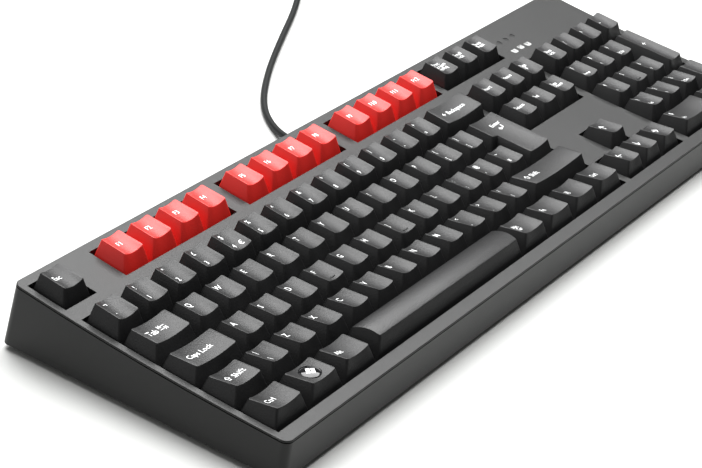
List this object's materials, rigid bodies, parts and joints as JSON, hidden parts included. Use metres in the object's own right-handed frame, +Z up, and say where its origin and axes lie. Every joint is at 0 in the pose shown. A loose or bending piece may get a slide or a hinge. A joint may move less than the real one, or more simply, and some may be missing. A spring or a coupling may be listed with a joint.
{
  "type": "mechanical keyboard",
  "caption": "Full-size wired ISO mechanical keyboard with dished sculpted keycaps, red function keys, hollow curved deck, indicator windows, fold-out rear feet and a coiled USB cable.",
  "frame": {"origin": "middle of the footprint on the desk, the cable and its pieces left out", "axes": "+X to the typist's right along the key rows, +Y to the rear, +Z up off the desk"},
  "size_m": [0.5035, 0.2899, 0.0359],
  "materials": {
    "case_plastic": "satin, fine spark-eroded grain",
    "plate_steel": "powder coated",
    "board_laminate": "solder mask over glass-fibre laminate",
    "component_black": "moulded epoxy",
    "switch_plastic": "moulded nylon",
    "spring_steel": "drawn wire",
    "lens_clear": "smoky translucent",
    "foot_rubber": "matte",
    "screw_steel": "blackened",
    "cable_jacket": "satin PVC",
    "tie_plastic": "coated wire",
    "grip_plastic": "overmoulded, fine grain",
    "plug_metal": "nickel plated",
    "foot_plastic": "satin",
    "key_black": "fine grained top, white legends",
    "key_red": "fine grained top, white legends"
  },
  "bodies": {
    "case": {"top_case": "case_plastic", "bottom_case": "case_plastic", "switch_plate": "plate_steel", "circuit_board": "board_laminate", "board_components": "component_black", "switch_housings": "switch_plastic", "switch_springs": "spring_steel", "stabiliser_housings": "switch_plastic", "stabiliser_wires": "spring_steel", "indicator_lenses": "lens_clear", "rubber_feet": "foot_rubber", "case_screws": "screw_steel", "cable_grommet": "cable_jacket", "cable": "cable_jacket", "cable_coil": "cable_jacket", "coil_tie": "tie_plastic", "usb_plug_grip": "grip_plastic", "usb_plug_shell": "plug_metal"},
    "key_a_body": {"key_a": "key_black"},
    "key_b_body": {"key_b": "key_black"},
    "key_c_body": {"key_c": "key_black"},
    "key_d_body": {"key_d": "key_black"},
    "key_e_body": {"key_e": "key_black"},
    "key_f_body": {"key_f": "key_black"},
    "key_g_body": {"key_g": "key_black"},
    "key_h_body": {"key_h": "key_black"},
    "key_i_body": {"key_i": "key_black"},
    "key_j_body": {"key_j": "key_black"},
    "key_k_body": {"key_k": "key_black"},
    "key_l_body": {"key_l": "key_black"},
    "key_m_body": {"key_m": "key_black"},
    "key_n_body": {"key_n": "key_black"},
    "key_o_body": {"key_o": "key_black"},
    "key_p_body": {"key_p": "key_black"},
    "key_q_body": {"key_q": "key_black"},
    "key_r_body": {"key_r": "key_black"},
    "key_s_body": {"key_s": "key_black"},
    "key_t_body": {"key_t": "key_black"},
    "key_u_body": {"key_u": "key_black"},
    "key_v_body": {"key_v": "key_black"},
    "key_w_body": {"key_w": "key_black"},
    "key_x_body": {"key_x": "key_black"},
    "key_y_body": {"key_y": "key_black"},
    "key_z_body": {"key_z": "key_black"},
    "key_escape_body": {"key_escape": "key_black"},
    "key_tab_body": {"key_tab": "key_black"},
    "key_caps_lock_body": {"key_caps_lock": "key_black"},
    "key_left_shift_body": {"key_left_shift": "key_black"},
    "key_right_shift_body": {"key_right_shift": "key_black"},
    "key_enter_body": {"key_enter": "key_black"},
    "key_backspace_body": {"key_backspace": "key_black"},
    "key_space_body": {"key_space": "key_black"},
    "function_keys_body": {"function_keys": "key_red"},
    "number_row_keys_body": {"number_row_keys": "key_black"},
    "punctuation_keys_body": {"punctuation_keys": "key_black"},
    "modifier_keys_body": {"modifier_keys": "key_black"},
    "navigation_keys_body": {"navigation_keys": "key_black"},
    "numpad_keys_body": {"numpad_keys": "key_black"},
    "left_tilt_foot_body": {"left_tilt_foot": "foot_plastic"},
    "right_tilt_foot_body": {"right_tilt_foot": "foot_plastic"}
  },
  "joints": [
    {"name": "key_a_press", "type": "slide", "parent": "case", "child": "key_a_body", "axis": [0, 0.0677, -0.9977], "range_m": [0, 0.004], "stiffness_N_per_m": 75, "springref_m": -0.002},
    {"name": "key_b_press", "type": "slide", "parent": "case", "child": "key_b_body", "axis": [0, 0.0677, -0.9977], "range_m": [0, 0.004], "stiffness_N_per_m": 75, "springref_m": -0.002},
    {"name": "key_c_press", "type": "slide", "parent": "case", "child": "key_c_body", "axis": [0, 0.0677, -0.9977], "range_m": [0, 0.004], "stiffness_N_per_m": 75, "springref_m": -0.002},
    {"name": "key_d_press", "type": "slide", "parent": "case", "child": "key_d_body", "axis": [0, 0.0677, -0.9977], "range_m": [0, 0.004], "stiffness_N_per_m": 75, "springref_m": -0.002},
    {"name": "key_e_press", "type": "slide", "parent": "case", "child": "key_e_body", "axis": [0, 0.0677, -0.9977], "range_m": [0, 0.004], "stiffness_N_per_m": 75, "springref_m": -0.002},
    {"name": "key_f_press", "type": "slide", "parent": "case", "child": "key_f_body", "axis": [0, 0.0677, -0.9977], "range_m": [0, 0.004], "stiffness_N_per_m": 75, "springref_m": -0.002},
    {"name": "key_g_press", "type": "slide", "parent": "case", "child": "key_g_body", "axis": [0, 0.0677, -0.9977], "range_m": [0, 0.004], "stiffness_N_per_m": 75, "springref_m": -0.002},
    {"name": "key_h_press", "type": "slide", "parent": "case", "child": "key_h_body", "axis": [0, 0.0677, -0.9977], "range_m": [0, 0.004], "stiffness_N_per_m": 75, "springref_m": -0.002},
    {"name": "key_i_press", "type": "slide", "parent": "case", "child": "key_i_body", "axis": [0, 0.0677, -0.9977], "range_m": [0, 0.004], "stiffness_N_per_m": 75, "springref_m": -0.002},
    {"name": "key_j_press", "type": "slide", "parent": "case", "child": "key_j_body", "axis": [0, 0.0677, -0.9977], "range_m": [0, 0.004], "stiffness_N_per_m": 75, "springref_m": -0.002},
    {"name": "key_k_press", "type": "slide", "parent": "case", "child": "key_k_body", "axis": [0, 0.0677, -0.9977], "range_m": [0, 0.004], "stiffness_N_per_m": 75, "springref_m": -0.002},
    {"name": "key_l_press", "type": "slide", "parent": "case", "child": "key_l_body", "axis": [0, 0.0677, -0.9977], "range_m": [0, 0.004], "stiffness_N_per_m": 75, "springref_m": -0.002},
    {"name": "key_m_press", "type": "slide", "parent": "case", "child": "key_m_body", "axis": [0, 0.0677, -0.9977], "range_m": [0, 0.004], "stiffness_N_per_m": 75, "springref_m": -0.002},
    {"name": "key_n_press", "type": "slide", "parent": "case", "child": "key_n_body", "axis": [0, 0.0677, -0.9977], "range_m": [0, 0.004], "stiffness_N_per_m": 75, "springref_m": -0.002},
    {"name": "key_o_press", "type": "slide", "parent": "case", "child": "key_o_body", "axis": [0, 0.0677, -0.9977], "range_m": [0, 0.004], "stiffness_N_per_m": 75, "springref_m": -0.002},
    {"name": "key_p_press", "type": "slide", "parent": "case", "child": "key_p_body", "axis": [0, 0.0677, -0.9977], "range_m": [0, 0.004], "stiffness_N_per_m": 75, "springref_m": -0.002},
    {"name": "key_q_press", "type": "slide", "parent": "case", "child": "key_q_body", "axis": [0, 0.0677, -0.9977], "range_m": [0, 0.004], "stiffness_N_per_m": 75, "springref_m": -0.002},
    {"name": "key_r_press", "type": "slide", "parent": "case", "child": "key_r_body", "axis": [0, 0.0677, -0.9977], "range_m": [0, 0.004], "stiffness_N_per_m": 75, "springref_m": -0.002},
    {"name": "key_s_press", "type": "slide", "parent": "case", "child": "key_s_body", "axis": [0, 0.0677, -0.9977], "range_m": [0, 0.004], "stiffness_N_per_m": 75, "springref_m": -0.002},
    {"name": "key_t_press", "type": "slide", "parent": "case", "child": "key_t_body", "axis": [0, 0.0677, -0.9977], "range_m": [0, 0.004], "stiffness_N_per_m": 75, "springref_m": -0.002},
    {"name": "key_u_press", "type": "slide", "parent": "case", "child": "key_u_body", "axis": [0, 0.0677, -0.9977], "range_m": [0, 0.004], "stiffness_N_per_m": 75, "springref_m": -0.002},
    {"name": "key_v_press", "type": "slide", "parent": "case", "child": "key_v_body", "axis": [0, 0.0677, -0.9977], "range_m": [0, 0.004], "stiffness_N_per_m": 75, "springref_m": -0.002},
    {"name": "key_w_press", "type": "slide", "parent": "case", "child": "key_w_body", "axis": [0, 0.0677, -0.9977], "range_m": [0, 0.004], "stiffness_N_per_m": 75, "springref_m": -0.002},
    {"name": "key_x_press", "type": "slide", "parent": "case", "child": "key_x_body", "axis": [0, 0.0677, -0.9977], "range_m": [0, 0.004], "stiffness_N_per_m": 75, "springref_m": -0.002},
    {"name": "key_y_press", "type": "slide", "parent": "case", "child": "key_y_body", "axis": [0, 0.0677, -0.9977], "range_m": [0, 0.004], "stiffness_N_per_m": 75, "springref_m": -0.002},
    {"name": "key_z_press", "type": "slide", "parent": "case", "child": "key_z_body", "axis": [0, 0.0677, -0.9977], "range_m": [0, 0.004], "stiffness_N_per_m": 75, "springref_m": -0.002},
    {"name": "key_escape_press", "type": "slide", "parent": "case", "child": "key_escape_body", "axis": [0, 0.0677, -0.9977], "range_m": [0, 0.004], "stiffness_N_per_m": 75, "springref_m": -0.002},
    {"name": "key_tab_press", "type": "slide", "parent": "case", "child": "key_tab_body", "axis": [0, 0.0677, -0.9977], "range_m": [0, 0.004], "stiffness_N_per_m": 75, "springref_m": -0.002},
    {"name": "key_caps_lock_press", "type": "slide", "parent": "case", "child": "key_caps_lock_body", "axis": [0, 0.0677, -0.9977], "range_m": [0, 0.004], "stiffness_N_per_m": 75, "springref_m": -0.002},
    {"name": "key_left_shift_press", "type": "slide", "parent": "case", "child": "key_left_shift_body", "axis": [0, 0.0677, -0.9977], "range_m": [0, 0.004], "stiffness_N_per_m": 75, "springref_m": -0.002},
    {"name": "key_right_shift_press", "type": "slide", "parent": "case", "child": "key_right_shift_body", "axis": [0, 0.0677, -0.9977], "range_m": [0, 0.004], "stiffness_N_per_m": 75, "springref_m": -0.002},
    {"name": "key_enter_press", "type": "slide", "parent": "case", "child": "key_enter_body", "axis": [0, 0.0677, -0.9977], "range_m": [0, 0.004], "stiffness_N_per_m": 75, "springref_m": -0.002},
    {"name": "key_backspace_press", "type": "slide", "parent": "case", "child": "key_backspace_body", "axis": [0, 0.0677, -0.9977], "range_m": [0, 0.004], "stiffness_N_per_m": 75, "springref_m": -0.002},
    {"name": "key_space_press", "type": "slide", "parent": "case", "child": "key_space_body", "axis": [0, 0.0677, -0.9977], "range_m": [0, 0.004], "stiffness_N_per_m": 75, "springref_m": -0.002},
    {"name": "function_keys_press", "type": "slide", "parent": "case", "child": "function_keys_body", "axis": [0, 0.0677, -0.9977], "range_m": [0, 0.004], "stiffness_N_per_m": 900, "springref_m": -0.002},
    {"name": "number_row_keys_press", "type": "slide", "parent": "case", "child": "number_row_keys_body", "axis": [0, 0.0677, -0.9977], "range_m": [0, 0.004], "stiffness_N_per_m": 975, "springref_m": -0.002},
    {"name": "punctuation_keys_press", "type": "slide", "parent": "case", "child": "punctuation_keys_body", "axis": [0, 0.0677, -0.9977], "range_m": [0, 0.004], "stiffness_N_per_m": 675, "springref_m": -0.002},
    {"name": "modifier_keys_press", "type": "slide", "parent": "case", "child": "modifier_keys_body", "axis": [0, 0.0677, -0.9977], "range_m": [0, 0.004], "stiffness_N_per_m": 525, "springref_m": -0.002},
    {"name": "navigation_keys_press", "type": "slide", "parent": "case", "child": "navigation_keys_body", "axis": [0, 0.0677, -0.9977], "range_m": [0, 0.004], "stiffness_N_per_m": 975, "springref_m": -0.002},
    {"name": "numpad_keys_press", "type": "slide", "parent": "case", "child": "numpad_keys_body", "axis": [0, 0.0677, -0.9977], "range_m": [0, 0.004], "stiffness_N_per_m": 1275, "springref_m": -0.002},
    {"name": "left_tilt_foot_fold", "type": "hinge", "parent": "case", "child": "left_tilt_foot_body", "pos_m": [0, 0.059, 0.0043], "axis": [1, 0, 0], "range_deg": [0, 95]},
    {"name": "right_tilt_foot_fold", "type": "hinge", "parent": "case", "child": "right_tilt_foot_body", "pos_m": [0, 0.059, 0.0043], "axis": [1, 0, 0], "range_deg": [0, 95]}
  ]
}
